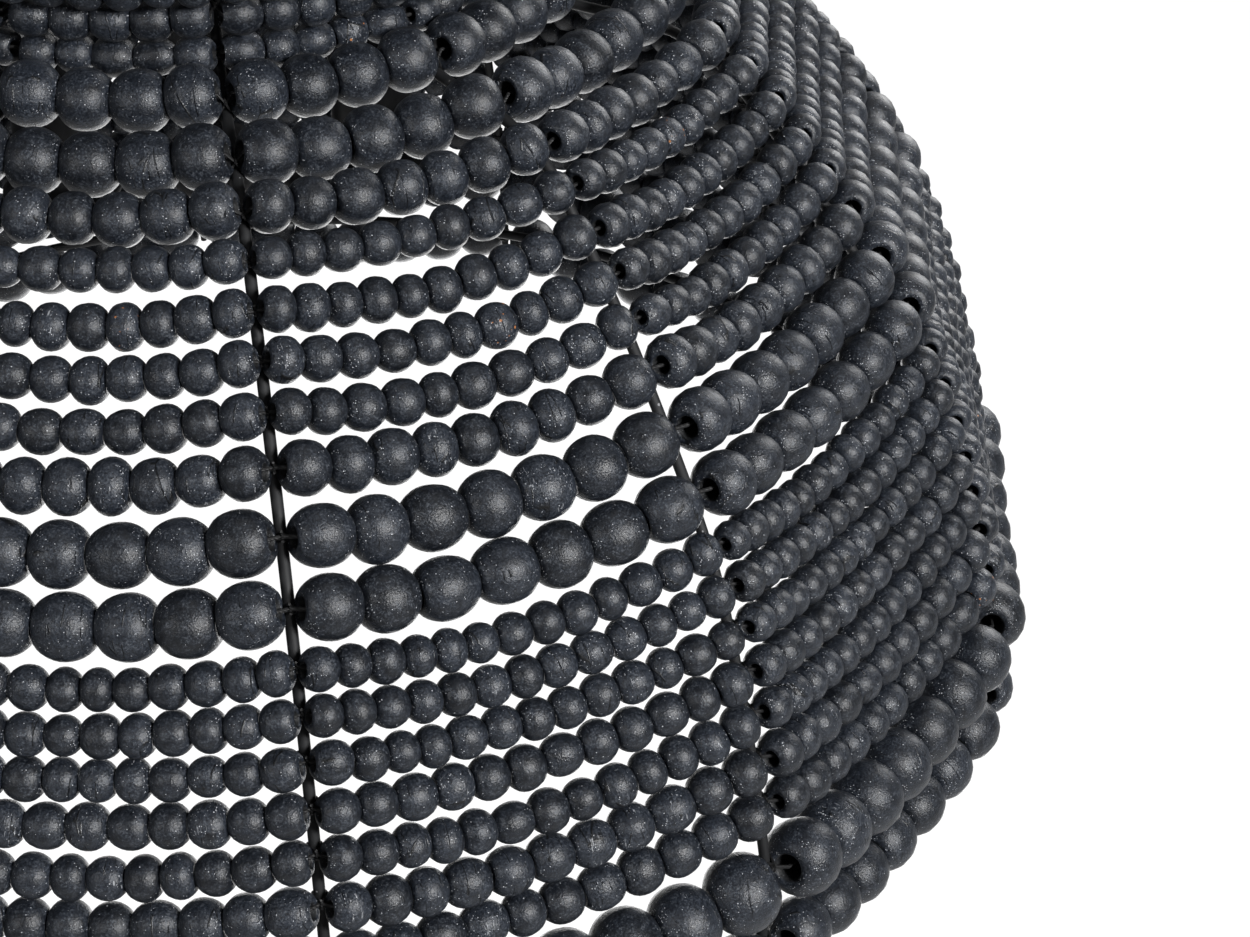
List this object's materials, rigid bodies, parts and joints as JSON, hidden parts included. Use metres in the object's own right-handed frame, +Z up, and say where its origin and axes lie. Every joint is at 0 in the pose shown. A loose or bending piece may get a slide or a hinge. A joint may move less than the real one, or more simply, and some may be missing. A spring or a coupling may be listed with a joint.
{
  "type": "beaded chandelier",
  "caption": "Dome-shaped hanging shade of matt black wooden beads strung round a rod cage, hung by a short chain from a ceiling canopy, with candle lamps inside.",
  "frame": {"origin": "middle of the ceiling bar's top face, where the fitting meets the ceiling", "axes": "+Z up, against the ceiling; the first rib stands at -Y, the front; +X to the right seen from the front"},
  "size_m": [0.606, 0.606, 0.5951],
  "materials": {
    "beads": "stained matt black, fine grain",
    "iron": "matt black powder coat",
    "candle_sleeve": "satin black",
    "porcelain": "white moulded lamp socket",
    "bulb": "clear glass with a metal cap",
    "cord": "waxed black bead cord"
  },
  "bodies": {
    "fitting": {"ceiling_bar": "iron", "canopy_loop": "iron"},
    "canopy_cover": {"canopy": "iron", "canopy_ring_nut": "iron"},
    "link_1": {"chain_link_1": "iron"},
    "link_2": {"chain_link_2": "iron"},
    "link_3": {"chain_link_3": "iron"},
    "shade": {"stem_loop": "iron", "stem": "iron", "crown_spider": "iron", "crown_hoop": "iron", "rim_hoop": "iron", "rib_1": "iron", "rib_2": "iron", "rib_3": "iron", "rib_4": "iron", "rib_5": "iron", "rib_6": "iron", "rib_7": "iron", "rib_8": "iron", "rib_9": "iron", "rib_10": "iron", "rib_11": "iron", "rib_12": "iron", "rim_row_2": "beads", "rim_row_1": "beads", "lower_row_7": "beads", "lower_row_6": "beads", "lower_row_5": "beads", "lower_row_4": "beads", "lower_row_3": "beads", "lower_row_2": "beads", "lower_row_1": "beads", "girdle_row_2": "beads", "girdle_row_1": "beads", "upper_row_6": "beads", "upper_row_5": "beads", "upper_row_4": "beads", "upper_row_3": "beads", "upper_row_2": "beads", "upper_row_1": "beads", "shoulder_row_2": "beads", "shoulder_row_1": "beads", "neck_row": "beads", "crown_row_4": "beads", "crown_row_3": "beads", "crown_row_2": "beads", "crown_row_1": "beads", "crown_rim_row": "beads", "lamp_arms": "iron", "socket_1": "porcelain", "candle_sleeve_1": "candle_sleeve", "bulb_1": "bulb", "socket_2": "porcelain", "candle_sleeve_2": "candle_sleeve", "bulb_2": "bulb", "socket_3": "porcelain", "candle_sleeve_3": "candle_sleeve", "bulb_3": "bulb"}
  },
  "joints": [
    {"name": "canopy_drop", "type": "slide", "parent": "fitting", "child": "canopy_cover", "axis": [0, 0, -1], "range_m": [0, 0.025]},
    {"name": "link_1_swing", "type": "hinge", "parent": "fitting", "child": "link_1", "pos_m": [0, 0, -0.0692], "axis": [1, 0, 0], "range_deg": [-25, 25]},
    {"name": "link_2_swing", "type": "hinge", "parent": "link_1", "child": "link_2", "pos_m": [0, 0, -0.0979], "axis": [0, 1, 0], "range_deg": [-25, 25]},
    {"name": "link_3_swing", "type": "hinge", "parent": "link_2", "child": "link_3", "pos_m": [0, 0, -0.1268], "axis": [1, 0, 0], "range_deg": [-25, 25]},
    {"name": "shade_swing", "type": "hinge", "parent": "link_3", "child": "shade", "pos_m": [0, 0, -0.1557], "axis": [0, 1, 0], "range_deg": [-25, 25]}
  ]
}
